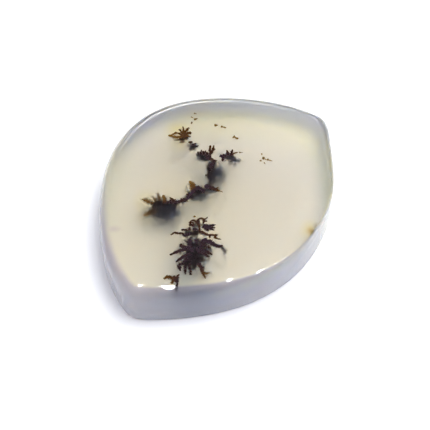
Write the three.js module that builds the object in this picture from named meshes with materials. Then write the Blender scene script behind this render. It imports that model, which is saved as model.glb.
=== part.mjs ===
// Dendritic agate: one polished piece of chalcedony, cut as a thick two-cornered leaf.
// Millimetres, +Z up. The long axis runs along X from corner to corner, and the origin is
// at the middle of the flat base, so the stone stands on the plane z = 0.
import * as THREE from 'three';

// Driving dimensions
const THICKNESS = 5.2;
const BASE_BEVEL = 0.25; // narrow ground edge round the base

// Fineness of the faceted solid
const STEPS_PER_SPAN = 8;
const ROUNDING_STEPS = 7;

// Control points of the girdle, which is the widest outline of the stone, each with the
// radius of the polished edge over it. They run counterclockwise seen from above. The two
// close groups are the blunt corners. The hand-made edge is broad at both corners and on
// the left, and tightest in the middle of the lower side.
const GIRDLE = [
  [18.7, -5.0, 1.6], [18.9, -3.3, 1.8], // right corner
  [17.9, 0.9, 1.5], [14.9, 6.8, 1.3], [9.9, 12.5, 1.3], // upper side, with the fuller bow
  [3.5, 15.3, 1.4], [-4.1, 13.9, 1.5], [-11.3, 8.8, 1.6], [-16.35, 3.35, 1.6],
  [-18.15, -0.9, 1.6], [-18.7, -2.9, 1.5], [-17.6, -4.6, 1.5], // left corner
  [-14.4, -8.3, 1.5], [-9.0, -12.7, 0.8], [-2.1, -14.9, 0.25], // lower side
  [3.9, -14.3, 0.3], [9.3, -12.7, 0.5], [14.4, -8.5, 1.1],
].map(([x, y, rounding]) => new THREE.Vector3(x, y, rounding));

// A closed uniform cubic B-spline, which keeps its curvature smooth past every point.
class GirdleCurve extends THREE.Curve {
  constructor(controls) {
    super();
    this.controls = controls;
  }

  getPoint(t, target = new THREE.Vector3()) {
    const count = this.controls.length;
    const span = Math.floor(t * count) % count;
    const u = t * count - Math.floor(t * count);
    const weights = [
      (1 - u) ** 3 / 6,
      (3 * u ** 3 - 6 * u ** 2 + 4) / 6,
      (-3 * u ** 3 + 3 * u ** 2 + 3 * u + 1) / 6,
      u ** 3 / 6,
    ];
    target.set(0, 0, 0);
    weights.forEach((weight, k) => {
      target.addScaledVector(this.controls[(span + k) % count], weight);
    });
    return target;
  }
}

// The girdle as points centred on the origin, each with its outward direction and rounding.
function girdleStations() {
  const curve = new GirdleCurve(GIRDLE);
  const count = GIRDLE.length * STEPS_PER_SPAN;
  const points = Array.from({ length: count }, (_, i) => curve.getPoint(i / count));
  const middle = new THREE.Box3().setFromPoints(points).getCenter(new THREE.Vector3());
  return points.map((point, i) => {
    const along = points[(i + 1) % count].clone().sub(points[(i + count - 1) % count]);
    return {
      point: new THREE.Vector2(point.x - middle.x, point.y - middle.y),
      outward: new THREE.Vector2(along.y, -along.x).normalize(),
      rounding: point.z,
    };
  });
}

// The side of the stone from the base to the top face, as steps of height and of how far
// inside the girdle each step lies.
function sideProfile(rounding) {
  const steps = [
    { inset: BASE_BEVEL, height: 0 },
    { inset: 0, height: BASE_BEVEL },
  ];
  const centre = THICKNESS - rounding;
  for (let i = 0; i <= ROUNDING_STEPS; i += 1) {
    const angle = (i / ROUNDING_STEPS) * (Math.PI / 2);
    steps.push({
      inset: rounding * (1 - Math.cos(angle)),
      height: centre + rounding * Math.sin(angle),
    });
  }
  return steps;
}

// One closed body: a ring of points for each step of the profile, walls between the rings,
// and the flat base and top face over the first and the last ring.
function stoneGeometry() {
  const stations = girdleStations();
  const profiles = stations.map(({ rounding }) => sideProfile(rounding));
  const count = stations.length;
  const positions = [];
  const rings = profiles[0].map((_, ring) => stations.map(({ point, outward }, i) => {
    const { inset, height } = profiles[i][ring];
    const place = point.clone().addScaledVector(outward, -inset);
    positions.push(place.x, place.y, height);
    return place;
  }));

  const faces = [];
  for (let ring = 0; ring < rings.length - 1; ring += 1) {
    for (let i = 0; i < count; i += 1) {
      const next = (i + 1) % count;
      const low = ring * count;
      const high = low + count;
      faces.push(low + i, low + next, high + next);
      faces.push(low + i, high + next, high + i);
    }
  }
  const topStart = (rings.length - 1) * count;
  for (const [a, b, c] of THREE.ShapeUtils.triangulateShape(rings.at(0), [])) {
    faces.push(c, b, a);
  }
  for (const [a, b, c] of THREE.ShapeUtils.triangulateShape(rings.at(-1), [])) {
    faces.push(topStart + a, topStart + b, topStart + c);
  }

  const geometry = new THREE.BufferGeometry();
  geometry.setAttribute('position', new THREE.Float32BufferAttribute(positions, 3));
  geometry.setIndex(faces);
  geometry.computeVertexNormals();
  return geometry;
}

const chalcedony = new THREE.MeshStandardMaterial({
  color: 0xdad5c2,
  roughness: 0.08,
  metalness: 0,
});

const agate = new THREE.Mesh(stoneGeometry(), chalcedony);
agate.name = 'agate';

const specimen = new THREE.Group();
specimen.add(agate);

export default specimen;
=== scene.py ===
"""Dendritic agate: one polished slab of milky agate with dark ferns of oxide grown in it.

Metres, +Z up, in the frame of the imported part: the flat base lies on z = 0, the long axis
runs along X. The stone is clear glassy agate with milk in its volume. The ferns are meshes
inside it, ground flush where they meet the polish.
"""
import math
import random

import bmesh
import bpy
import numpy as np
from mathutils import Matrix, Vector
from mathutils.bvhtree import BVHTree


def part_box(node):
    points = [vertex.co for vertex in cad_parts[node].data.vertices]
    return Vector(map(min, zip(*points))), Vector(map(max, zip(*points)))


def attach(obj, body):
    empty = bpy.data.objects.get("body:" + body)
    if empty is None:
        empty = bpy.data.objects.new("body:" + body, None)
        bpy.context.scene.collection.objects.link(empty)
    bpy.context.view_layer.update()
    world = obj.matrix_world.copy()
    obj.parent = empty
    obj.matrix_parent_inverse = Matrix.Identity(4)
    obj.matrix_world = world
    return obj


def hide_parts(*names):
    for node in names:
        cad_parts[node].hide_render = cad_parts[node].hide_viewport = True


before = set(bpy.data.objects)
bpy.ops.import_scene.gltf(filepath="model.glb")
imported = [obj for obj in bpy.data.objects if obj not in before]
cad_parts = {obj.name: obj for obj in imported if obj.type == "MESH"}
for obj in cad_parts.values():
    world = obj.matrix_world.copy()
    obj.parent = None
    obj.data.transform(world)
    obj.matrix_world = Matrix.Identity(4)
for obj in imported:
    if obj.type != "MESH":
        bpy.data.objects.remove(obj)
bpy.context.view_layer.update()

MM = 0.001
UP = Vector((0, 0, 1))

# Stone
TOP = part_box("agate")[1].z
AGATE_IOR = 1.54
MERGE_DISTANCE = 0.0001 * MM
LEVEL_COSINE = 0.99999  # a facet this level belongs to the flat top or base
CAP_INSET = 0.15 * MM  # ring round the flat faces, so that the polish turns over cleanly

# Tints of the stone, by where its surface lies and which way it faces. Some are painted: shade
# and light on the near side of the wall, and the look of the far wall through the face along
# its far and right edges. Centres and reaches are in mm across and away on the top face as the
# camera sees it, and a fade is the share of the reach over which a tint gives way. Cosines say
# how squarely the surface faces a way where a tint starts and where it is full.
FACE_TINT = (1.0, 0.99, 1.0)
FACE_COSINES = (0.82, 0.96)  # up or down
FAR_REFRACTION_TINT = (0.975, 0.995, 0.89)  # painted tint: yellower along the far and right edges of the face, for the far wall and its light seen through the face
FAR_REFRACTION_CENTRE = (-3, -3)
FAR_REFRACTION_REACH = (17.3, 19.2)
FAR_REFRACTION_FADE = 0.18
BAND_REFRACTION_TINT = (1.0, 0.99, 0.78)  # painted tint, outermost, where the far wall shows through the face
BAND_REFRACTION_REACH = (17.6, 19.85)
BAND_REFRACTION_FADE = 0.12
GREY_LEFT_EDGE_TINT = (0.84, 0.85, 0.86)  # the face greyer in a thin band along its left side
GREY_LEFT_EDGE_CENTRE = (3, -2)
GREY_LEFT_EDGE_REACH = (17.2, 28)
GREY_LEFT_EDGE_FADE = 0.2
SIDE_TINT = (1.0, 0.99, 0.74)  # the wall, where nothing below says otherwise
LEFT_TINT = (0.95, 0.95, 0.92)  # the wall on the left
LEFT_COSINES = (0.0, 0.5)  # to the camera's left
FRONT_MILK_AND_SHADE_TINT = (0.44, 0.44, 0.78)  # painted shade: the near side of the wall darker, away from the light, and lavender blue as the milk shows there
FRONT_SHADE_COSINES = (0.02, 0.3)  # along FRONT
DEEP_SHADE_TINT = (0.32, 0.35, 0.72)  # painted shade, darkest and bluest in the middle of the near side, with the fir's dark skirt behind it
DEEP_SHADE_CENTRE = (-1.5, -12.5)
DEEP_SHADE_REACH = (5, 4)
BROW_LIGHT_TINT = (0.68, 0.70, 0.90)  # painted light: paler close under the edge, on the right of the near side, which turns to the light
BROW_LIGHT_COSINES = (0.1, 0.5)  # to the camera's right
BROW_LIGHT_DEPTHS = (0.3, 2.6)  # mm under the top face
STAINS = [  # centre, reach, tint
    ((-3.0, 4.0), (8.0, 9.0), (1.0, 0.98, 0.94)),  # warm cream round all the ferns
    ((11.5, -2.3), (1.6, 2.1), (1.0, 0.91, 0.55)),  # gold spot at the right edge
    ((11.55, -2.45), (0.8, 1.05), (0.72, 0.48, 0.12)),  # its rusty heart
    ((12.35, -1.95), (0.8, 1.1), (0.36, 0.29, 0.2)),  # its dark end on the edge
    ((-6.4, 0.6), (3.4, 2.8), (1.0, 0.955, 0.92)),  # rosy haze of the left cloud
    ((-7.9, 1.9), (1.9, 2.2), (1.0, 0.93, 0.85)),  # stronger between its feelers
    ((0.2, 7.0), (2.0, 3.0), (1.0, 0.97, 0.96)),  # rosy haze of the middle cloud
    ((-4.8, 14.0), (2.4, 2.0), (1.0, 0.94, 0.6)),  # gold round the upper burst
    ((-8.6, 2.2), (2.0, 2.6), (1.0, 0.95, 0.76)),  # gold round the feelers
    ((-12.3, -2.15), (1.5, 0.8), (0.78, 0.72, 0.86)),  # lavender smudge near the left edge
    ((-13.1, 2.4), (0.5, 0.6), (0.86, 0.82, 0.9)),  # and a smaller one
]
BODY_GLOSS = (0.0, 0.0, 0.0)  # none of its own: the coat gives the polish
POLISH_ROUGHNESS = 0.03
FACE_ROUGHNESS = 0.4
WALL_ROUGHNESS = 0.6

# The body of the stone: densities are per metre
MILK_COLOUR = (0.4, 0.6, 1, 1)
MILK_DENSITY = 80
MILK_FORWARD = 0  # it scatters as much forward as back
GOLD_COLOUR = (0.95, 0.92, 0.6, 1)
GOLD_DENSITY = 40

# Camera, at the photograph's viewing angle
HEADING = math.radians(38.5)  # the way it looks, from +X towards +Y
LOOK_DOWN = math.radians(52)
CAMERA_DISTANCE = 150 * MM
AIM = Vector((-3.36 * MM, -3.455 * MM, TOP))  # the middle of the view, on the top face
LENS_MM = 103
SENSOR_MM = 36

# The camera's own directions on the level: to its right, and away from it
ACROSS = Vector((math.sin(HEADING), -math.cos(HEADING), 0))
AWAY = Vector((math.cos(HEADING), math.sin(HEADING), 0))

# The painted shade of the near wall lies on the side that faces this way, turned from the camera to
# its left
FRONT_TURN = math.radians(15)
FRONT = -AWAY * math.cos(FRONT_TURN) - ACROSS * math.sin(FRONT_TURN)

# The polished face bends the view down, so what lies deep looks nearer than it is
LEAN_IN_STONE = math.tan(math.asin(math.cos(LOOK_DOWN) / AGATE_IOR))

# Grains of oxide. A spread is the share by which a value strays at random, up or down.
OXIDE_ROUGHNESS = 0.45
OXIDE_SHADES = [  # from black in the thick of a fern to rust gold at its thinnest tips
    (0.0, (0.040, 0.024, 0.036)),
    (0.12, (0.026, 0.016, 0.020)),
    (0.25, (0.036, 0.019, 0.016)),
    (0.45, (0.062, 0.028, 0.010)),
    (0.75, (0.14, 0.078, 0.023)),
    (1.0, (0.33, 0.21, 0.065)),
]
GRAIN_SIDES = 5
GRAIN_RINGS = 3
GRAIN_TIP = (0.75, 0.75, 0.6)  # its ring near the tip beside the other: widths and distance out
GRAIN_THICKNESS = 0.8  # for each unit of its width
SHORTEST_GRAIN = 0.001 * MM
PLUMP = 2.2  # grains are this much wider than the line they draw, as grinding narrows them
FLUSH = 0.004 * MM  # how far ground grains stand proud of the polish
FLUSH_SPREAD = 0.5

# Stems: overlapping grains along a path
STEM_STEP = 0.15  # mm between grains
STEM_TAPER = 0.6  # share of its width that a stem has lost at its tip
STEM_SPREAD = 0.25  # of its width
RUST_STRAY = 0.06  # how far the rust of a grain strays
GRAIN_LEAD = 0.4  # a grain starts this many steps early
GRAIN_REACH = 1.9  # and is this many steps long

# Branches off a stem
SHORTEST_BRANCH = 0.1  # mm, and stems with shorter ones stay bare
BRANCH_STRIDE = 0.42  # from one branch to the next, for each mm of the longest one
BRANCH_RISE = 0.3  # branches lengthen and shorten along a stem as a sine does from here,
BRANCH_SWEEP = 0.6  # over this much more of a half turn
BRANCH_SPREAD = 0.35  # of their lengths
BRANCH_ANGLES = (30, 65)  # degrees from the stem
BRANCH_TILT = 0.3  # how far they stray out of the level
BRANCH_BOW = 0.08  # how far they curve forward, for each unit of length
BRANCH_WIDTH = 0.8  # beside the stem's at its root
BRANCH_TAPER = 0.5  # and how much of that is lost towards the stem's tip
TWIG_SHARE = 0.45  # the longest branch of a branch, for each mm of the longest one here

# Lumps and clouds
STUB_REACH = (0.7, 1.0)  # shares of the way out at which the stubs of a lump end
CLOUD_ROOF = 0.15  # mm, the least depth in a cloud
CLOUD_SLANT = 0.1  # mm, how far a strand in a cloud climbs or dips
CLOUD_SPREAD = 0.4  # of the lengths and widths of its strands
CLOUD_TWIG = 0.5  # the longest branch of a strand, for each mm of its length

# Light
ROOM = (0.29, 0.29, 0.315)
CEILING = (5.5, 5.5, 5.5)
CEILING_CENTRE = ACROSS * 0.32 + AWAY * 0.1 + UP
CEILING_EDGE_INNER = math.radians(15)
CEILING_EDGE_OUTER = math.radians(38)
ROOM_IN_POLISH = 0.04  # what the polish mirrors of the room
# Small lamps that show in the polish only. They are placed by the tangents of the mirrored
# direction: aside and along over its height, where the turn swings aside from across to away.
LAMPS_OVERHEAD = [  # turn in degrees, aside, along, half width, half length, radiance
    (3.7, -0.006, 0.13, 0.0108, 0.38, 60),
    (-6.9, -0.152, 0.43, 0.016, 0.17, 60),
    (10.8, 0.141, 0.31, 0.0052, 0.33, 60),
    (20.4, 0.2835, 0.22, 0.0072, 0.36, 60),
    (26.8, 0.371, 0.32, 0.005, 0.2, 35),
    (28.8, 0.406, 0.36, 0.006, 0.18, 35),
]
LAMPS_BEYOND = [  # across and up over the distance away, half width, half height, radiance
    (-0.28, 0.79, 0.11, 0.2, 4),
    (-0.12, 0.80, 0.10, 0.23, 11),
    (-0.005, 0.80, 0.035, 0.23, 9),
    (0.06, 0.80, 0.06, 0.23, 5),
    (0.30, 0.68, 0.09, 0.25, 6),
    (0.35, 0.75, 0.37, 0.50, 2.0),
]
LAMP_EDGE = 0.3  # share of a lamp's half size over which it fades out

# Floor
FLOOR_SIZE = 1.2
FLOOR_GAP = 0.02 * MM
FLOOR_COLOUR = (0.912, 0.918, 0.95, 1)
FLOOR_ROUGHNESS = 0.6


def deselect_all():
    bpy.ops.object.select_all(action="DESELECT")


def take(ob):
    """Makes ob the one selected and active object."""
    deselect_all()
    ob.select_set(True)
    bpy.context.view_layer.objects.active = ob


def in_stone(across, away, depth=0.0):
    """The place that the camera sees at these millimetres on the top face, that deep."""
    level = ACROSS * across + AWAY * (away + LEAN_IN_STONE * depth)
    return AIM + (level - UP * depth) * MM


# Materials

def new_material(name):
    material = bpy.data.materials.new(name)
    material.use_nodes = True
    tree = material.node_tree
    return material, tree, tree.nodes["Principled BSDF"]


def add_node(tree, kind, **settings):
    node = tree.nodes.new(kind)
    for key, value in settings.items():
        setattr(node, key, value)
    return node


def colour_ramp(tree, stops):
    ramp = add_node(tree, "ShaderNodeValToRGB")
    elements = ramp.color_ramp.elements
    while len(elements) < len(stops):
        elements.new(0.5)
    for element, (position, colour) in zip(elements, stops):
        element.position = position
        element.color = (*colour, 1)
    return ramp


def calculate(tree, operation, *values):
    """What a math operation makes of its values, each a number or a socket."""
    node = add_node(tree, "ShaderNodeMath", operation=operation)
    for value, socket in zip(values, node.inputs):
        if isinstance(value, (int, float)):
            socket.default_value = value
        else:
            tree.links.new(value, socket)
    return node.outputs[0]


def reach_along(tree, vector, direction):
    """How far a vector reaches along a direction, times the direction's own length."""
    node = add_node(tree, "ShaderNodeVectorMath", operation="DOT_PRODUCT")
    tree.links.new(vector, node.inputs[0])
    node.inputs[1].default_value = direction
    return node.outputs["Value"]


def soft_step(tree, value, start, end):
    """0 before start and 1 past end, with a soft change between them."""
    node = add_node(tree, "ShaderNodeMapRange", interpolation_type="SMOOTHSTEP")
    node.inputs["From Min"].default_value = start
    node.inputs["From Max"].default_value = end
    tree.links.new(value, node.inputs["Value"])
    return node.outputs["Result"]


def slope(tree, place, direction, cosines):
    """0 to 1 as the surface turns towards a direction, over two cosines."""
    return soft_step(tree, reach_along(tree, place.outputs["Normal"], direction), *cosines)


def blend(tree, share, first, second):
    """Mixes two colours, each a colour or a socket, by a socket's share."""
    mix = add_node(tree, "ShaderNodeMix", data_type="RGBA")
    tree.links.new(share, mix.inputs["Factor"])
    for socket, colour in ((mix.inputs[6], first), (mix.inputs[7], second)):
        if isinstance(colour, tuple):
            socket.default_value = (*colour, 1)
        else:
            tree.links.new(colour, socket)
    return mix.outputs[2]


def highness(tree, place, depths):
    """1 above the first depth in mm under the top face, falling softly to 0 at the second."""
    split = add_node(tree, "ShaderNodeSeparateXYZ")
    tree.links.new(place.outputs["Object"], split.inputs[0])
    return soft_step(tree, split.outputs["Z"], TOP - depths[1] * MM, TOP - depths[0] * MM)


def nearness(tree, place, centre, reach, fade=1.0, squarish=False):
    """1 at a centre on the top face, falling softly to 0 at reach across and away.

    fade is the share of the reach over which it falls. It is round, or squarish like the stone.
    """
    offset = add_node(tree, "ShaderNodeVectorMath", operation="SUBTRACT")
    tree.links.new(place.outputs["Object"], offset.inputs[0])
    offset.inputs[1].default_value = in_stone(*centre)
    flat = add_node(tree, "ShaderNodeCombineXYZ")
    for direction, length, socket in zip((ACROSS, AWAY), reach, flat.inputs):
        share = reach_along(tree, offset.outputs["Vector"], direction / (length * MM))
        tree.links.new(share, socket)
    if squarish:
        squares = add_node(tree, "ShaderNodeVectorMath", operation="MULTIPLY")
        for socket in squares.inputs[:2]:
            tree.links.new(flat.outputs["Vector"], socket)
        flat = squares
    distance = add_node(tree, "ShaderNodeVectorMath", operation="LENGTH")
    tree.links.new(flat.outputs["Vector"], distance.inputs[0])
    return soft_step(tree, distance.outputs["Value"], 1, 1 - fade)


def stone_tint(tree, place, face):
    """Tints of the whole surface, painted shade and light on the near wall and a painted look of
    the far wall along the edges of the face among them. face is 1 on the flat faces and 0 on the
    wall.
    """
    well_in = nearness(tree, place, FAR_REFRACTION_CENTRE, FAR_REFRACTION_REACH, FAR_REFRACTION_FADE, squarish=True)
    before_band = nearness(tree, place, FAR_REFRACTION_CENTRE, BAND_REFRACTION_REACH, BAND_REFRACTION_FADE, squarish=True)
    inside_grey_left_edge = nearness(tree, place, GREY_LEFT_EDGE_CENTRE, GREY_LEFT_EDGE_REACH, GREY_LEFT_EDGE_FADE)
    # painted look of the far wall seen through the face, along its far and right edges
    far = blend(tree, before_band, BAND_REFRACTION_TINT, FAR_REFRACTION_TINT)
    top = blend(tree, inside_grey_left_edge, GREY_LEFT_EDGE_TINT, blend(tree, well_in, far, FACE_TINT))

    leftward = slope(tree, place, -ACROSS, LEFT_COSINES)
    side = blend(tree, leftward, SIDE_TINT, LEFT_TINT)
    round_the_edge = blend(tree, face, side, top)

    # painted shade and light on the near side of the wall
    deep = nearness(tree, place, DEEP_SHADE_CENTRE, DEEP_SHADE_REACH)
    rightward = slope(tree, place, ACROSS, BROW_LIGHT_COSINES)
    # painted light close under the edge on the right of the near side
    brow = calculate(tree, "MULTIPLY", rightward, highness(tree, place, BROW_LIGHT_DEPTHS))
    front = blend(tree, brow, blend(tree, deep, FRONT_MILK_AND_SHADE_TINT, DEEP_SHADE_TINT), BROW_LIGHT_TINT)

    tint = blend(tree, slope(tree, place, FRONT, FRONT_SHADE_COSINES), round_the_edge, front)
    for centre, reach, colour in STAINS:
        stained = calculate(tree, "MULTIPLY", nearness(tree, place, centre, reach), face)
        tint = blend(tree, stained, tint, colour)
    return tint


def agate_material():
    """Milky agate: a clear polished body with fine milk that scatters blue light back."""
    material, tree, shader = new_material("milky_agate")
    shader.inputs["Transmission Weight"].default_value = 1.0
    shader.inputs["IOR"].default_value = AGATE_IOR
    shader.inputs["Specular Tint"].default_value = (*BODY_GLOSS, 1)
    shader.inputs["Coat Weight"].default_value = 1.0
    shader.inputs["Coat Roughness"].default_value = POLISH_ROUGHNESS
    place = add_node(tree, "ShaderNodeTexCoord")
    level = calculate(tree, "ABSOLUTE", reach_along(tree, place.outputs["Normal"], UP))
    face = soft_step(tree, level, *FACE_COSINES)
    # the base colour carries the painted shade and light of stone_tint
    tree.links.new(stone_tint(tree, place, face), shader.inputs["Base Color"])
    rough = add_node(tree, "ShaderNodeMapRange")
    rough.inputs["To Min"].default_value = WALL_ROUGHNESS
    rough.inputs["To Max"].default_value = FACE_ROUGHNESS
    tree.links.new(face, rough.inputs["Value"])
    tree.links.new(rough.outputs["Result"], shader.inputs["Roughness"])
    milk = add_node(tree, "ShaderNodeVolumeScatter")
    milk.inputs["Color"].default_value = MILK_COLOUR
    milk.inputs["Density"].default_value = MILK_DENSITY
    milk.inputs["Anisotropy"].default_value = MILK_FORWARD
    gold = add_node(tree, "ShaderNodeVolumeAbsorption")
    gold.inputs["Color"].default_value = GOLD_COLOUR
    gold.inputs["Density"].default_value = GOLD_DENSITY
    body = add_node(tree, "ShaderNodeAddShader")
    tree.links.new(milk.outputs[0], body.inputs[0])
    tree.links.new(gold.outputs[0], body.inputs[1])
    tree.links.new(body.outputs[0], tree.nodes["Material Output"].inputs["Volume"])
    return material


def oxide_material():
    """Dull dark oxide, shaded by the rust of each grain."""
    material, tree, shader = new_material("oxide")
    rust = add_node(tree, "ShaderNodeAttribute", attribute_name="rust")
    shade = colour_ramp(tree, OXIDE_SHADES)
    tree.links.new(rust.outputs["Fac"], shade.inputs["Fac"])
    tree.links.new(shade.outputs["Color"], shader.inputs["Base Color"])
    shader.inputs["Roughness"].default_value = OXIDE_ROUGHNESS
    shader.inputs["Specular IOR Level"].default_value = 0.0
    return material


def floor_material():
    material, _, shader = new_material("pale_floor")
    shader.inputs["Base Color"].default_value = FLOOR_COLOUR
    shader.inputs["Roughness"].default_value = FLOOR_ROUGHNESS
    shader.inputs["Specular IOR Level"].default_value = 0.0
    return material


# Stone

def select_flat_face(mesh, sign):
    """Selects the facets of the top, with sign 1, or of the base, with sign -1."""
    bpy.ops.mesh.select_all(action="DESELECT")
    edit = bmesh.from_edit_mesh(mesh)
    for face in edit.faces:
        face.select = face.normal.z * sign > LEVEL_COSINE
    bmesh.update_edit_mesh(mesh)


def polished_stone():
    """The slab of the frame with its facets merged and smoothed to one polished skin."""
    stone = bpy.data.objects.new("agate_polished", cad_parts["agate"].data.copy())
    bpy.context.scene.collection.objects.link(stone)
    take(stone)
    bpy.ops.object.mode_set(mode="EDIT")
    bpy.ops.mesh.select_all(action="SELECT")
    bpy.ops.mesh.remove_doubles(threshold=MERGE_DISTANCE)
    for sign in (1, -1):
        select_flat_face(stone.data, sign)
        bpy.ops.mesh.dissolve_faces()
        bpy.ops.mesh.inset(thickness=CAP_INSET)
    bpy.ops.mesh.select_all(action="SELECT")
    bpy.ops.mesh.tris_convert_to_quads()
    bpy.ops.object.mode_set(mode="OBJECT")
    bpy.ops.object.shade_smooth()
    stone.data.materials.clear()
    stone.data.materials.append(agate_material())
    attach(stone, "root")
    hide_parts("agate")
    return stone


# Ferns

def model_grain():
    """Points and faces of one grain: pointed, widest before its middle, 1 long along +X."""
    deselect_all()
    bpy.ops.mesh.primitive_uv_sphere_add(
        segments=GRAIN_SIDES, ring_count=GRAIN_RINGS, radius=1,
    )
    ball = bpy.context.object
    bpy.ops.object.mode_set(mode="EDIT")
    bpy.ops.mesh.select_all(action="DESELECT")
    edit = bmesh.from_edit_mesh(ball.data)
    peak = max(vertex.co.z for vertex in edit.verts)
    for vertex in edit.verts:
        vertex.select = 0 < vertex.co.z < peak
    bmesh.update_edit_mesh(ball.data)
    bpy.ops.transform.resize(value=GRAIN_TIP, center_override=(0, 0, 0))
    bpy.ops.object.mode_set(mode="OBJECT")
    widest = max(v.co.xy.length for v in ball.data.vertices)
    points = np.array([
        (v.co.z / 2 + 0.5, v.co.x / widest, v.co.y / widest) for v in ball.data.vertices
    ])
    faces = [tuple(polygon.vertices) for polygon in ball.data.polygons]
    bpy.data.objects.remove(ball)
    return points, faces


def smooth_path(points, step):
    """A curve through the points, as places about one step apart."""
    ends = [points[0] * 2 - points[1], *points, points[-1] * 2 - points[-2]]
    path = []
    for before, start, end, after in zip(ends, ends[1:], ends[2:], ends[3:]):
        count = max(1, round((end - start).length / step))
        for i in range(count):
            t = i / count
            path.append(0.5 * (
                start * 2 + (end - before) * t
                + (before * 2 - start * 5 + end * 4 - after) * t ** 2
                + (start * 3 - before - end * 3 + after) * t ** 3
            ))
    path.append(points[-1].copy())
    return path


def between(ends, t):
    """The value that far, from 0 to 1, along the way from one end to the other."""
    return ends[0] + (ends[1] - ends[0]) * t


class Fern:
    """One growth of oxide, collected grain by grain and made into one mesh.

    Places are (across, away, depth) in mm as the camera sees them, and widths and lengths
    are in mm too. rusts are the rust at the root and at the tip, from black 0 to gold 1.
    """

    def __init__(self, name, seed):
        self.name = name
        self.random = random.Random(seed)
        self.points = []
        self.rusts = []
        self.lifts = []

    def vary(self, spread):
        """A factor near 1."""
        return 1 + self.random.uniform(-spread, spread)

    def stray(self, size):
        """A small step in any direction."""
        return Vector([self.random.gauss(0, size) for _ in range(3)])

    def grain(self, start, reach, half_width, rust):
        """One grain from start along reach."""
        length = reach.length
        if length < SHORTEST_GRAIN:
            return
        turn = reach.to_track_quat("X", "Z").to_matrix()
        twist = Matrix.Rotation(self.random.uniform(0, math.tau), 3, "X")
        half_width *= PLUMP * MM
        scale = Matrix.Diagonal((length, half_width, half_width * GRAIN_THICKNESS))
        place = np.array(turn @ twist @ scale)
        self.points.append(GRAIN_POINTS @ place.T + np.array(start))
        self.rusts.append(rust)
        self.lifts.append(FLUSH * self.vary(FLUSH_SPREAD))

    def stem(self, path, half_width, rusts):
        """Overlapping grains along a path, thinner towards its tip."""
        last = max(1, len(path) - 1)
        for i, (start, end) in enumerate(zip(path, path[1:])):
            t = i / last
            ahead = end - start
            width = half_width * (1 - STEM_TAPER * t) * self.vary(STEM_SPREAD)
            rust = between(rusts, t) + self.random.uniform(-RUST_STRAY, RUST_STRAY)
            self.grain(start - ahead * GRAIN_LEAD, ahead * GRAIN_REACH, width, rust)

    def frond(self, points, half_width, branch, rusts, order):
        """A stem with branches off both sides, which branch again while order is over 1.

        points are places in the stone, and branch is the length of the longest branch.
        """
        path = smooth_path(points, STEM_STEP * MM)
        self.stem(path, half_width, rusts)
        if order == 0 or branch < SHORTEST_BRANCH:
            return
        last = len(path) - 1
        side = self.random.choice((-1, 1))
        stride = max(1, round(branch * BRANCH_STRIDE / STEM_STEP))
        for i in range(0, last, stride):
            t = i / last
            side = -side
            ahead = (path[i + 1] - path[i]).normalized()
            swell = math.sin(math.pi * (BRANCH_RISE + BRANCH_SWEEP * t))
            length = branch * swell * self.vary(BRANCH_SPREAD) * MM
            axis = (UP + self.stray(BRANCH_TILT)).normalized()
            angle = side * math.radians(self.random.uniform(*BRANCH_ANGLES))
            sideways = Matrix.Rotation(angle, 3, axis) @ ahead
            end = path[i] + sideways * length
            middle = (path[i] + end) / 2 + ahead * length * BRANCH_BOW
            width = half_width * (1 - BRANCH_TAPER * t) * BRANCH_WIDTH
            self.frond(
                [path[i], middle, end], width, branch * TWIG_SHARE,
                (between(rusts, t), rusts[1]), order - 1,
            )

    def line(self, places, half_width, branch=0.2, rusts=(0.2, 0.4), order=1):
        """A frond through the places."""
        points = [in_stone(*place) for place in places]
        self.frond(points, half_width, branch, rusts, order)

    def lump(self, centre, radii, count, half_width, rusts=(0.1, 0.3)):
        """A knob of short stubs from a centre to the edge of an ellipsoid."""
        for _ in range(count):
            way = self.stray(1).normalized()
            reach = self.random.uniform(*STUB_REACH)
            tip = [c + r * w * reach for c, r, w in zip(centre, radii, way)]
            tip[2] = max(0.0, tip[2])
            self.line([centre, tip], half_width, 0, rusts, 0)

    def cloud(
        self, centre, spread, dip, count, half_width=0.04, length=0.45, rusts=(0.0, 0.05),
    ):
        """Fine strands scattered round a centre, ever sparser outwards.

        spread is how far they usually stray across, away and in depth. dip is the depth
        gained per mm across and per mm away.
        """
        for _ in range(count):
            across, away, deeper = (self.random.gauss(0, size) for size in spread)
            depth = max(CLOUD_ROOF, centre[2] + dip[0] * across + dip[1] * away + deeper)
            start = (centre[0] + across, centre[1] + away, depth)
            turn = self.random.uniform(0, math.tau)
            reach = length * self.vary(CLOUD_SPREAD)
            tip = (
                start[0] + reach * math.cos(turn),
                start[1] + reach * math.sin(turn),
                depth + self.random.uniform(-CLOUD_SLANT, CLOUD_SLANT),
            )
            width = half_width * self.vary(CLOUD_SPREAD)
            self.line([start, tip], width, length * CLOUD_TWIG, rusts, 1)

    def finish(self):
        """One mesh of all grains, ground flush with the polish."""
        count = len(GRAIN_POINTS)
        points = np.concatenate(self.points)
        grind_flush(points, np.repeat(self.lifts, count))
        faces = [
            [index + count * k for index in face]
            for k in range(len(self.points)) for face in GRAIN_FACES
        ]
        mesh = bpy.data.meshes.new(self.name)
        mesh.from_pydata(points.tolist(), [], faces)
        rust = mesh.attributes.new("rust", "FLOAT", "POINT")
        rust.data.foreach_set("value", np.repeat(self.rusts, count).astype(np.float32))
        mesh.materials.append(OXIDE)
        fern = bpy.data.objects.new(self.name, mesh)
        bpy.context.scene.collection.objects.link(fern)
        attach(fern, "root")


def grind_flush(points, lifts):
    """Brings every point that stands out of the stone back to its surface."""
    for i, point in enumerate(points):
        place, normal, _, _ = SKIN.find_nearest(Vector(point))
        if (Vector(point) - place).dot(normal) > lifts[i]:
            points[i] = place + normal * lifts[i]


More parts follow.
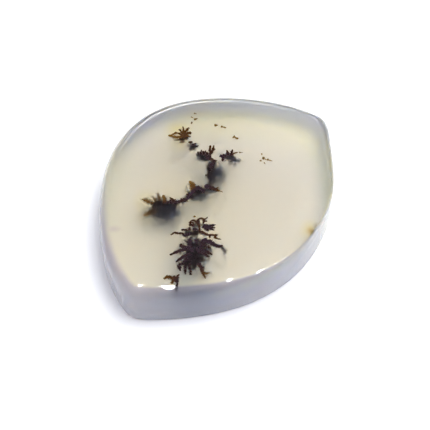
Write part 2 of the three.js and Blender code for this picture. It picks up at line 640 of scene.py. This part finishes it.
def upper_burst():
    """A star of blades near the far edge, rusty on its left."""
    fern = Fern("upper_burst", 11)
    heart = (-4.0, 13.0, 0.03)
    brown = (0.36, 0.6)
    rusty = (0.5, 0.8)
    fern.line([heart, (-4.5, 12.75, 0.02), (-5.0, 12.65, 0), (-5.95, 13.0, 0)], 0.19, 0.15, rusty)
    fern.line([heart, (-4.6, 13.3, 0.02), (-5.0, 13.4, 0)], 0.17, 0.15, brown)
    fern.line([(-5.0, 13.4, 0), (-5.3, 13.2, 0), (-5.8, 13.0, 0)], 0.12, 0.1, (0.6, 0.8))
    fern.lump((-5.05, 13.45, 0.02), (0.16, 0.16, 0.08), 8, 0.09, brown)
    fern.line([heart, (-4.3, 13.55, 0), (-4.6, 14.0, 0)], 0.15, 0.15, brown)
    fern.lump((-4.55, 13.95, 0.02), (0.13, 0.14, 0.08), 6, 0.08, brown)
    fern.line([heart, (-4.05, 13.7, 0), (-4.15, 14.5, 0)], 0.17, 0.15, brown)
    fern.line([heart, (-3.75, 13.75, 0), (-3.35, 14.3, 0)], 0.2, 0.15, brown)
    fern.line([heart, (-3.5, 13.3, 0), (-3.1, 13.6, 0)], 0.22, 0.15, brown)
    fern.lump((-3.2, 13.35, 0.02), (0.2, 0.24, 0.1), 12, 0.1, brown)
    fern.line([heart, (-3.6, 12.9, 0), (-3.15, 12.75, 0)], 0.18, 0.15, brown)
    fern.line([heart, (-3.85, 12.5, 0.1), (-3.6, 12.15, 0.2)], 0.18, 0.15, brown)
    fern.line([heart, (-4.15, 12.4, 0.2), (-4.35, 11.7, 0.6)], 0.19, 0.18, brown)
    fern.line([heart, (-4.4, 12.45, 0.1), (-4.85, 12.1, 0.3)], 0.17, 0.15, brown)
    fern.lump((-4.0, 12.9, 0.1), (0.4, 0.35, 0.15), 16, 0.12, (0.3, 0.45))
    fern.cloud((-4.3, 12.2, 0.4), (0.35, 0.25, 0.1), (0, -0.3), 9, 0.05, 0.5, (0.45, 0.55))
    fern.finish()


def step_tuft():
    """The small dark tuft below the burst."""
    fern = Fern("step_tuft", 12)
    fern.lump((-3.15, 11.8, 0.03), (0.32, 0.22, 0.15), 14, 0.11, (0.2, 0.35))
    fern.lump((-2.75, 11.4, 0.05), (0.28, 0.24, 0.2), 14, 0.11, (0.1, 0.25))
    fern.lump((-2.35, 11.1, 0.03), (0.22, 0.22, 0.15), 10, 0.1, (0.15, 0.3))
    fern.line([(-2.7, 11.4, 0.03), (-2.45, 11.65, 0)], 0.09, 0.1)
    fern.line([(-2.3, 11.1, 0.03), (-2.1, 11.3, 0)], 0.09, 0.1)
    fern.line([(-2.8, 11.3, 0.15), (-3.0, 11.0, 0.3), (-3.35, 10.65, 0.5)], 0.14, 0.2)
    fern.line([(-2.6, 11.3, 0.15), (-2.65, 10.9, 0.3), (-2.55, 10.4, 0.5)], 0.13, 0.2)
    fern.cloud((-2.95, 11.1, 0.8), (0.25, 0.2, 0.15), (0, -0.3), 21)
    fern.finish()


def middle_plume():
    """Left half of the middle plume, with the two-pronged twig and the neck under it."""
    fern = Fern("middle_plume", 13)
    black = (0.1, 0.22)
    for root, tip in [
        ((-1.9, 9.5, 0.3), (-2.2, 10.2, 0.03)), ((-1.75, 9.6, 0.2), (-1.75, 10.5, 0)),
        ((-1.5, 9.6, 0.2), (-1.5, 10.3, 0)), ((-1.3, 9.5, 0.2), (-1.2, 10.35, 0)),
        ((-1.0, 9.5, 0.1), (-1.0, 10.1, 0)), ((-1.8, 9.5, 0.4), (-2.4, 9.7, 0.2)),
    ]:
        fern.line([root, tip], 0.19, 0.2, (0.1, 0.3))
    fern.line([(-0.7, 9.1, 0.05), (-1.1, 9.5, 0.1), (-1.7, 9.8, 0.15)], 0.24, 0.2, black)
    fern.line([(-0.7, 8.95, 0.1), (-1.3, 8.95, 0.4), (-2.2, 9.2, 0.9)], 0.18, 0.25, black)
    fern.lump((-1.35, 9.75, 0.25), (0.65, 0.4, 0.2), 26, 0.14, black)
    fern.cloud((-1.7, 9.4, 0.7), (0.38, 0.2, 0.2), (-0.4, -0.5), 40)
    fern.line([(-0.75, 9.0, 0.05), (-0.72, 9.5, 0.02), (-0.55, 10.0, 0)], 0.2, 0.12, black)
    fern.line([(-0.6, 9.9, 0), (-0.65, 10.5, 0), (-0.6, 11.25, 0)], 0.16, 0.14, (0.25, 0.4))
    fern.line([(-0.55, 10.0, 0), (-0.3, 10.5, 0), (-0.15, 11.3, 0)], 0.15, 0.1, (0.25, 0.4))
    fern.line([(-0.4, 10.3, 0), (0.03, 10.7, 0)], 0.12, 0.1, (0.25, 0.4))
    fern.line([(-0.75, 9.1, 0.03), (-0.45, 8.95, 0.02), (-0.1, 8.75, 0.02)], 0.2, 0.12, (0.2, 0.35))
    fern.line([(-0.1, 8.8, 0.02), (-0.15, 8.4, 0.03), (-0.4, 7.9, 0.1)], 0.2, 0.15, (0.2, 0.1))
    fern.finish()


def right_plume():
    """Right half of the middle plume: dark knobs at the left, and a soft deep tail."""
    fern = Fern("right_plume", 14)
    black = (0.1, 0.25)
    fern.lump((0.78, 9.5, 0.03), (0.22, 0.2, 0.15), 12, 0.11, black)
    fern.line([(0.8, 9.5, 0.02), (1.2, 9.55, 0.02), (1.6, 9.75, 0.03)], 0.2, 0.15, black)
    fern.line([(0.95, 9.4, 0.02), (1.0, 9.0, 0), (0.95, 8.65, 0)], 0.16, 0.12, black)
    fern.line([(1.6, 9.5, 0.1), (1.65, 10.0, 0), (1.5, 10.45, 0)], 0.16, 0.15, (0.1, 0.35))
    fern.line([(2.0, 9.5, 0.15), (2.1, 10.0, 0), (2.2, 10.55, 0)], 0.18, 0.15, (0.1, 0.35))
    fern.line([(1.8, 9.5, 0.1), (1.85, 9.95, 0.05)], 0.2, 0.15, (0.1, 0.25))
    fern.line([(2.1, 9.7, 0.1), (2.45, 9.95, 0), (2.9, 10.1, 0)], 0.1, 0.12, (0.4, 0.75))
    fern.lump((1.8, 9.45, 0.3), (0.5, 0.35, 0.2), 22, 0.14, black)
    fern.cloud((1.95, 9.15, 0.8), (0.4, 0.22, 0.2), (0.4, -0.6), 55)
    fern.cloud((2.4, 8.75, 1.7), (0.38, 0.28, 0.3), (0, 0), 60, 0.03, 0.3)
    fern.line([(3.1, 10.08, 0), (3.5, 10.05, 0)], 0.07, 0, (0.8, 0.8), 0)
    fern.finish()


def middle_cloud():
    """The dark mass under the neck: a jagged left edge, and a deep soft right side."""
    fern = Fern("middle_cloud", 15)
    black = (0.1, 0.2)
    fern.line(
        [(-0.3, 8.3, 0.05), (-0.55, 7.7, 0.15), (-0.5, 7.0, 0.25), (-0.65, 6.2, 0.3),
         (-0.5, 5.5, 0.5)],
        0.28, 0.35, black, 2,
    )
    for root, tip in [
        ((-0.5, 7.8, 0.2), (-0.9, 7.9, 0.15)), ((-0.4, 7.2, 0.3), (-0.95, 7.3, 0.3)),
        ((-0.5, 6.5, 0.3), (-1.0, 6.7, 0.2)), ((-0.5, 6.2, 0.3), (-1.25, 6.3, 0.08)),
        ((-0.5, 5.9, 0.4), (-0.95, 5.8, 0.3)), ((-0.4, 5.6, 0.5), (-0.7, 5.3, 0.4)),
    ]:
        fern.line([root, tip], 0.16, 0.15, black)
    fern.cloud((-0.35, 6.9, 0.9), (0.22, 0.85, 0.2), (0.8, 0), 130)
    fern.cloud((0.4, 6.7, 2.4), (0.45, 0.95, 0.4), (0.5, 0), 130, 0.033)
    fern.finish()


def small_knot():
    """A round knot with a tail to the right."""
    fern = Fern("small_knot", 16)
    fern.lump((-1.02, 4.5, 0.05), (0.42, 0.42, 0.25), 34, 0.15, (0.05, 0.2))
    fern.line(
        [(-0.9, 4.5, 0.1), (-0.4, 4.3, 0.08), (0.05, 4.0, 0.03), (0.5, 3.75, 0)],
        0.28, 0.25, (0.12, 0.4),
    )
    fern.line([(-0.1, 4.1, 0.05), (0.4, 4.3, 0)], 0.12, 0.12, (0.2, 0.5))
    fern.line([(0.3, 3.9, 0.03), (0.95, 3.6, 0)], 0.07, 0.12, (0.5, 0.9))
    fern.cloud((-0.3, 4.05, 0.8), (0.4, 0.2, 0.2), (0, -0.5), 30)
    fern.finish()


def cascade():
    """The arch below the knot, with a rusty spike and a purple-black shade under it."""
    fern = Fern("cascade", 17)
    rusty = (0.35, 0.85)
    black = (0.1, 0.2)
    fern.line([(-2.4, 4.2, 0.08), (-2.75, 4.7, 0.02), (-3.15, 5.35, 0)], 0.27, 0.2, rusty)
    fern.line([(-2.5, 4.2, 0.05), (-2.7, 4.6, 0), (-2.6, 5.05, 0)], 0.17, 0.15, rusty)
    fern.line([(-2.6, 4.2, 0.05), (-3.1, 4.6, 0)], 0.16, 0.15, rusty)
    fern.line([(-2.7, 4.1, 0.05), (-3.15, 4.1, 0.02)], 0.14, 0.12, rusty)
    fern.line(
        [(-1.4, 3.7, 0.1), (-1.8, 4.15, 0.03), (-2.2, 4.25, 0.03), (-2.6, 3.95, 0.03),
         (-3.0, 3.3, 0.03), (-3.4, 2.7, 0.03), (-3.55, 2.3, 0.05)],
        0.26, 0.3, (0.1, 0.1), 1,
    )
    fern.line([(-3.1, 3.1, 0), (-3.55, 3.3, 0)], 0.11, 0.1, (0.2, 0.4))
    fern.line([(-2.1, 4.3, 0.02), (-2.05, 4.7, 0.02)], 0.1, 0.1, (0.2, 0.4))
    fern.lump((-2.2, 3.7, 0.45), (0.6, 0.5, 0.25), 26, 0.15, black)
    fern.lump((-3.0, 2.8, 0.35), (0.45, 0.45, 0.2), 16, 0.14, black)
    fern.cloud((-2.15, 3.15, 1.3), (0.6, 0.5, 0.25), (0.2, -0.7), 150, 0.035)
    fern.finish()


def chain():
    """The thin chain of grains that joins the cascade to the left cloud."""
    fern = Fern("chain", 18)
    fern.line(
        [(-3.5, 2.35, 0.02), (-4.0, 2.35, 0), (-4.4, 2.1, 0), (-5.1, 1.95, 0.05)],
        0.24, 0.2, (0.2, 0.2),
    )
    fern.lump((-4.0, 2.35, 0.02), (0.3, 0.18, 0.1), 10, 0.1, (0.2, 0.4))
    fern.line([(-4.0, 2.2, 0.1), (-3.95, 1.6, 0.5)], 0.12, 0.15, (0.1, 0.2))
    fern.finish()


def left_cloud():
    """The widest and deepest cloud, with rusty feelers out of its left side."""
    fern = Fern("left_cloud", 19)
    black = (0.1, 0.2)
    fern.line(
        [(-4.7, 1.9, 0.1), (-5.3, 1.95, 0.15), (-6.0, 1.9, 0.2), (-6.8, 1.9, 0.25),
         (-7.5, 1.75, 0.3)],
        0.26, 0.4, black, 1,
    )
    fern.line([(-5.1, 1.9, 0.1), (-5.15, 2.2, 0.03), (-5.55, 2.75, 0)], 0.18, 0.15, (0.1, 0.6))
    fern.line([(-5.0, 1.9, 0.1), (-4.9, 2.45, 0)], 0.13, 0.12, (0.2, 0.5))
    fern.line([(-6.25, 1.8, 0.15), (-6.2, 2.4, 0.03), (-6.4, 3.1, 0)], 0.25, 0.2, (0.2, 0.8))
    fern.line([(-6.7, 1.9, 0.3), (-6.9, 2.6, 0.4), (-7.05, 3.5, 0.55)], 0.14, 0.25, (0.5, 1.0))
    fern.line([(-7.2, 1.9, 0.4), (-7.5, 2.7, 0.6)], 0.13, 0.2, (0.5, 1.0))
    fern.cloud((-7.0, 2.5, 0.9), (0.4, 0.35, 0.1), (0, 0), 12, 0.04, 0.5, (0.9, 1.0))
    fern.line([(-7.3, 1.7, 0.25), (-8.0, 1.95, 0.06), (-9.0, 2.5, 0.05)], 0.16, 0.15, (0.3, 0.9))
    fern.cloud((-8.6, 2.35, 0.35), (0.35, 0.2, 0.1), (0, 0), 10, 0.045, 0.4, (0.9, 1.0))
    fern.line([(-7.4, 0.8, 0.5), (-8.0, 0.3, 0.3), (-8.7, -0.2, 0.2)], 0.16, 0.2, (0.3, 0.85))
    fern.cloud((-8.0, 0.5, 0.9), (0.45, 0.35, 0.1), (0, 0), 14, 0.04, 0.4, (0.75, 0.95))
    fern.lump((-6.4, 1.4, 0.8), (1.1, 0.5, 0.3), 40, 0.16, black)
    fern.cloud((-6.15, 1.0, 1.3), (0.8, 0.5, 0.25), (0, -0.8), 230)
    fern.cloud((-6.2, 0.1, 2.0), (1.0, 0.75, 0.35), (0.2, 0), 300, 0.032, 0.35)
    fern.lump((-8.6, 2.25, 0.05), (0.32, 0.2, 0.05), 7, 0.075, (0.55, 0.8))
    fern.finish()


def fir_crown():
    """The curled and feathered upper tiers of the fir."""
    fern = Fern("fir_crown", 20)
    dark = (0.25, 0.35)
    black = (0.1, 0.2)
    fern.line(
        [(-2.6, -1.6, 0), (-2.9, -1.6, 0), (-3.05, -1.3, 0), (-2.9, -0.95, 0), (-2.65, -0.8, 0),
         (-2.4, -0.9, 0), (-2.25, -1.2, 0), (-2.0, -1.55, 0.02)],
        0.14, 0.1, dark,
    )
    fern.line([(-2.75, -1.1, 0), (-2.6, -1.4, 0)], 0.13, 0.1, dark)
    fern.line(
        [(-2.1, -0.85, 0), (-1.9, -0.6, 0), (-1.65, -0.5, 0), (-1.4, -0.65, 0),
         (-1.15, -0.6, 0), (-0.9, -0.3, 0)],
        0.12, 0.1, dark,
    )
    fern.line([(-1.4, -0.65, 0), (-1.35, -0.95, 0), (-1.0, -0.95, 0)], 0.12, 0.1, dark)
    fern.line([(-1.35, -1.0, 0), (-1.5, -1.3, 0)], 0.1, 0.1, dark)
    fern.line([(-2.1, -0.9, 0), (-2.0, -1.4, 0), (-1.85, -1.9, 0.02), (-1.95, -2.5, 0.03)],
              0.16, 0.2, dark)
    fern.line([(-2.5, -0.3, 0), (-2.5, -0.15, 0)], 0.08, 0, (0.8, 0.8), 0)
    for tip in [(0.05, -1.5, 0), (0.0, -1.95, 0), (-0.1, -2.3, 0), (-0.8, -2.5, 0.02)]:
        fern.line([(-1.35, -1.7, 0.03), ((tip[0] - 1.3) / 2, (tip[1] - 1.8) / 2, 0.02), tip],
                  0.19, 0.15, black)
    fern.lump((-0.75, -1.95, 0.1), (0.55, 0.35, 0.15), 22, 0.13, black)
    fern.lump((-3.1, -2.0, 0.03), (0.18, 0.18, 0.1), 8, 0.09, dark)
    fern.line([(-3.1, -2.0, 0), (-3.1, -2.4, 0.03)], 0.15, 0.12, dark)
    fern.line([(-4.0, -2.25, 0), (-3.5, -2.3, 0.02), (-3.1, -2.4, 0.05)], 0.12, 0.15, dark)
    fern.line([(-2.7, -2.2, 0.02), (-2.3, -2.2, 0.02), (-1.9, -2.4, 0.03)], 0.16, 0.15, black)
    fern.lump((-3.2, -2.85, 0.25), (0.6, 0.32, 0.2), 26, 0.1, black)
    fern.lump((-2.35, -2.75, 0.25), (0.65, 0.45, 0.2), 26, 0.1, (0.15, 0.3))
    fern.cloud((-2.7, -2.75, 0.6), (0.45, 0.2, 0.15), (0, 0), 45, 0.035, 0.3)
    fern.cloud((-2.2, -1.7, 0.5), (0.4, 0.3, 0.15), (0, 0), 40, 0.025, 0.3)
    fern.line([(-3.0, -2.9, 0.03), (-3.7, -3.15, 0.02), (-3.9, -2.75, 0)], 0.17, 0.12, black)
    fern.line([(-3.9, -2.8, 0), (-4.45, -2.8, 0), (-4.9, -2.7, 0), (-5.3, -3.1, 0.03)],
              0.15, 0.12, dark)
    fern.line([(-1.9, -2.5, 0.02), (-1.4, -2.7, 0), (-0.95, -3.0, 0), (-0.4, -3.05, 0),
               (0.3, -3.05, 0)], 0.15, 0.15, dark)
    fern.line([(0.15, -3.0, 0), (-0.05, -3.35, 0), (0.2, -3.55, 0), (0.7, -3.7, 0)],
              0.13, 0.1, (0.3, 0.5))
    fern.line([(-0.6, -3.05, 0), (-0.65, -3.5, 0)], 0.12, 0.1, dark)
    fern.finish()


def fir_skirt():
    """The big lower fan of the fir, near black at its heart."""
    fern = Fern("fir_skirt", 21)
    dark = (0.08, 0.22)
    black = (0.08, 0.16)
    fern.lump((-3.0, -3.85, 0.1), (0.38, 0.35, 0.15), 16, 0.13, black)
    fern.lump((-1.2, -3.8, 0.1), (0.4, 0.38, 0.15), 18, 0.13, black)
    fern.line([(-2.3, -3.7, 0.02), (-2.2, -4.2, 0.1), (-2.3, -5.0, 0.2)], 0.16, 0.2, black)
    fern.line([(-3.1, -3.9, 0.05), (-3.0, -4.6, 0.15), (-2.7, -5.4, 0.3)], 0.26, 0.25, black)
    fern.line([(-1.3, -3.9, 0.05), (-1.6, -4.6, 0.15), (-2.0, -5.4, 0.3)], 0.3, 0.25, black)
    arms = [
        [(-0.9, -3.9, 0.02), (-0.3, -4.35, 0), (0.1, -4.65, 0), (0.5, -4.8, 0), (0.9, -4.6, 0)],
        [(-2.2, -5.0, 0.2), (-1.2, -4.7, 0.1), (-0.4, -5.1, 0.1)],
        [(-2.2, -5.2, 0.2), (-1.2, -5.4, 0.05), (-0.85, -5.65, 0), (-0.35, -6.0, 0)],
        [(-2.2, -5.5, 0.2), (-1.3, -5.9, 0.05), (-0.65, -6.35, 0.03)],
        [(-2.3, -6.0, 0.3), (-1.7, -6.5, 0.25), (-1.2, -6.9, 0.3)],
        [(-2.3, -6.0, 0.3), (-2.0, -6.7, 0.2), (-1.75, -7.2, 0.2)],
        [(-2.5, -6.0, 0.3), (-2.5, -7.2, 0.25), (-2.45, -8.2, 0.15)],
        [(-2.6, -6.0, 0.3), (-3.0, -7.2, 0.2), (-2.95, -8.1, 0.1), (-2.85, -8.95, 0.03)],
        [(-3.1, -6.5, 0.3), (-3.5, -7.7, 0.2), (-3.5, -8.9, 0.06)],
        [(-2.8, -6.0, 0.3), (-3.7, -7.1, 0.15), (-4.3, -7.6, 0.08), (-4.0, -8.4, 0.05)],
        [(-2.7, -5.7, 0.3), (-3.8, -6.3, 0.05), (-4.6, -7.05, 0)],
        [(-2.6, -5.3, 0.2), (-3.6, -5.2, 0.05), (-4.5, -5.55, 0), (-5.35, -6.05, 0)],
        [(-2.8, -5.0, 0.2), (-3.6, -4.8, 0.05), (-4.05, -4.8, 0), (-4.1, -4.35, 0)],
    ]
    for arm in arms:
        fern.line(arm, 0.2, 0.3, dark)
    fern.line([(-0.6, -4.1, 0.05), (0.1, -4.6, 0.05), (0.8, -4.7, 0.1)], 0.2, 0.2, black)
    fern.lump((-4.05, -4.6, 0.03), (0.15, 0.25, 0.1), 8, 0.09, (0.3, 0.5))
    fern.lump((-4.15, -7.9, 0.05), (0.2, 0.35, 0.1), 12, 0.11, dark)
    fern.lump((-2.5, -5.3, 0.4), (1.2, 1.1, 0.25), 70, 0.14, (0.1, 0.2))
    fern.lump((-2.7, -6.5, 0.5), (0.9, 0.7, 0.2), 28, 0.12, (0.1, 0.2))
    fern.cloud((-2.4, -5.6, 0.8), (0.85, 1.0, 0.2), (0, 0), 300, 0.04)
    fern.line([(0.8, -4.8, 0.15), (1.0, -5.2, 0.6), (1.3, -5.7, 1.1)], 0.12, 0.25, (0.3, 0.2))
    fern.cloud((1.25, -5.75, 1.5), (0.18, 0.32, 0.2), (0, 0), 10, 0.028, 0.3, (0.2, 0.3))
    fern.line([(-2.0, -7.2, 0.05), (-1.65, -7.8, 0), (-1.5, -8.5, 0), (-1.1, -9.45, 0.02)],
              0.19, 0.25, (0.12, 0.5))
    fern.cloud((-1.2, -8.9, 0.5), (0.25, 0.3, 0.1), (0, 0), 8, 0.035, 0.35, (0.5, 0.7))
    fern.lump((-1.5, -7.8, 0.02), (0.15, 0.15, 0.08), 6, 0.08, dark)
    fern.line([(-1.45, -8.45, 0), (-1.1, -8.7, 0), (-0.6, -8.6, 0.02)], 0.12, 0.12, (0.35, 0.75))
    fern.finish()


def edge_twig():
    """The twig at the near edge. Its stem runs on over the rounded edge."""
    fern = Fern("edge_twig", 22)
    fern.line([(-4.5, -9.5, 0), (-5.0, -9.35, 0), (-5.5, -9.2, 0), (-6.0, -9.5, 0)],
              0.23, 0.15, (0.3, 0.58))
    fern.line([(-4.6, -9.5, 0), (-4.4, -9.1, 0), (-4.2, -8.85, 0)], 0.16, 0.1, (0.3, 0.4))
    fern.line([(-4.7, -9.5, 0), (-4.9, -9.8, 0), (-5.1, -10.15, 0)], 0.17, 0.12, (0.35, 0.5))
    fern.line([(-4.5, -9.3, 0), (-4.45, -10.0, 0), (-4.45, -10.6, 0)], 0.17, 0.12, (0.2, 0.15))
    fern.line([(-4.45, -10.5, 0.1), (-4.5, -11.1, 0.8), (-4.5, -11.9, 1.6)], 0.09, 0.12,
              (0.1, 0.0))
    fern.finish()


def specks():
    """Loose grains: dashes beyond the burst, a small star on the right, faint flecks under the
    polish, the rusty heart of the gold spot, and a few at the foot of the near wall.
    """
    fern = Fern("specks", 23)
    dashes = [
        ((-2.7, 15.75), (-2.3, 15.9), 0.13, 0.7),
        ((-3.0, 15.3), (-3.0, 15.0), 0.13, 0.7),
        ((-3.1, 16.15), (-2.9, 16.05), 0.06, 0.9),
        ((-2.7, 16.8), (-2.4, 16.75), 0.06, 0.85),
        ((-0.05, 14.7), (0.35, 14.75), 0.14, 0.78),
        ((0.8, 14.5), (1.4, 14.3), 0.13, 0.8),
        ((2.35, 12.75), (2.95, 12.4), 0.15, 0.75),
        ((6.0, 9.15), (6.25, 9.1), 0.2, 0.7),
        ((6.6, 8.9), (7.2, 8.65), 0.1, 0.85),
        ((6.2, 9.0), (6.7, 8.8), 0.05, 0.9),
        ((5.7, 8.75), (5.85, 8.65), 0.08, 0.85),
        ((6.2, 8.4), (6.3, 8.2), 0.07, 0.9),
        ((5.9, 9.9), (5.95, 9.65), 0.07, 0.85),
    ]
    for start, end, half_width, rust in dashes:
        fern.line([(*start, 0), (*end, 0)], half_width, 0, (rust, rust), 0)
    faint = [
        ((0.4, 16.4), (0.9, 16.4)), ((1.5, 16.4), (2.0, 16.45)), ((-5.7, 14.7), (-5.5, 14.9)),
        ((-4.9, 14.6), (-4.8, 14.8)), ((4.55, 5.4), (4.7, 5.3)), ((-2.6, 16.9), (-2.5, 17.2)),
    ]
    for start, end in faint:
        fern.line([(*start, 0.5), (*end, 0.5)], 0.05, 0, (0.8, 0.8), 0)
    fern.lump((11.72, -2.5, 0.2), (0.26, 0.36, 0.08), 7, 0.06, (0.8, 1.0))
    fern.lump((-7.05, -14.4, 5.05), (0.15, 0.1, 0.1), 6, 0.05, (0.1, 0.2))
    fern.finish()


# Stage

def pale_floor():
    """A plain floor, a hair under the stone."""
    deselect_all()
    bpy.ops.mesh.primitive_plane_add(size=FLOOR_SIZE, location=(0, 0, -FLOOR_GAP))
    floor = bpy.context.object
    floor.name = "floor"
    bpy.ops.object.transform_apply(location=True, rotation=True, scale=True)
    floor.data.materials.append(floor_material())


def lean(tree, direction, aside, ahead):
    """How far a direction leans aside for each unit ahead."""
    parts = [reach_along(tree, direction, axis) for axis in (aside, ahead)]
    return calculate(tree, "DIVIDE", *parts)


def lamp(tree, leans, centre, half_size, radiance):
    """A lamp's radiance where both leans lie inside it, fading to 0 at its edge."""
    inside = []
    for leaning, middle, half in zip(leans, centre, half_size):
        distance = calculate(tree, "ABSOLUTE", calculate(tree, "SUBTRACT", leaning, middle))
        inside.append(soft_step(tree, distance, half, half * (1 - LAMP_EDGE)))
    return calculate(tree, "MULTIPLY", calculate(tree, "MULTIPLY", *inside), radiance)


def lamps_in_polish(tree, direction):
    """What the polish mirrors: a dim room with its small lamps."""
    lamps = []
    for turn, aside, along, half_width, half_length, radiance in LAMPS_OVERHEAD:
        swing = math.radians(turn)
        aside_axis = ACROSS * math.cos(swing) + AWAY * math.sin(swing)
        along_axis = AWAY * math.cos(swing) - ACROSS * math.sin(swing)
        leans = [lean(tree, direction, axis, UP) for axis in (aside_axis, along_axis)]
        lamps.append(lamp(tree, leans, (aside, along), (half_width, half_length), radiance))
    leans = [lean(tree, direction, axis, AWAY) for axis in (ACROSS, UP)]
    for across, up, half_width, half_height, radiance in LAMPS_BEYOND:
        lamps.append(lamp(tree, leans, (across, up), (half_width, half_height), radiance))
    total = ROOM_IN_POLISH
    for light in lamps:
        total = calculate(tree, "ADD", total, light)
    return total


def soft_ceiling():
    """A dim room with one broad soft patch of light overhead."""
    world = bpy.data.worlds.new("studio")
    bpy.context.scene.world = world
    world.use_nodes = True
    tree = world.node_tree
    background = tree.nodes["Background"]
    direction = add_node(tree, "ShaderNodeTexCoord").outputs["Generated"]
    overhead = reach_along(tree, direction, CEILING_CENTRE.normalized())
    glow = soft_step(tree, overhead, math.cos(CEILING_EDGE_OUTER), math.cos(CEILING_EDGE_INNER))
    light = blend(tree, glow, ROOM, CEILING)
    rays = add_node(tree, "ShaderNodeLightPath").outputs
    mirrored = calculate(tree, "MULTIPLY", rays["Is Glossy Ray"], rays["Is Reflection Ray"])
    seen = blend(tree, mirrored, light, lamps_in_polish(tree, direction))
    tree.links.new(seen, background.inputs["Color"])
    background.inputs["Strength"].default_value = 1


def camera():
    """The photograph's view of the stone, looking down on its near side."""
    data = bpy.data.cameras.new("camera")
    data.lens = LENS_MM
    data.sensor_width = SENSOR_MM
    eye = bpy.data.objects.new("camera", data)
    bpy.context.scene.collection.objects.link(eye)
    view = AWAY * math.cos(LOOK_DOWN) - UP * math.sin(LOOK_DOWN)
    eye.location = AIM - view * CAMERA_DISTANCE
    eye.rotation_euler = view.to_track_quat("-Z", "Y").to_euler()
    bpy.context.scene.camera = eye


def light_paths():
    """Enough bounces for light to cross the milk, and colours as they are."""
    scene = bpy.context.scene
    scene.cycles.diffuse_bounces = 4
    scene.cycles.max_bounces = 64
    scene.cycles.volume_bounces = 64
    scene.cycles.transmission_bounces = 24
    scene.view_settings.view_transform = "Standard"


camera()
pale_floor()
soft_ceiling()
light_paths()

stone = polished_stone()
SKIN = BVHTree.FromPolygons(
    [v.co.copy() for v in stone.data.vertices],
    [tuple(p.vertices) for p in stone.data.polygons],
)
GRAIN_POINTS, GRAIN_FACES = model_grain()
OXIDE = oxide_material()

upper_burst()
step_tuft()
middle_plume()
right_plume()
middle_cloud()
small_knot()
cascade()
chain()
left_cloud()
fir_crown()
fir_skirt()
edge_twig()
specks()
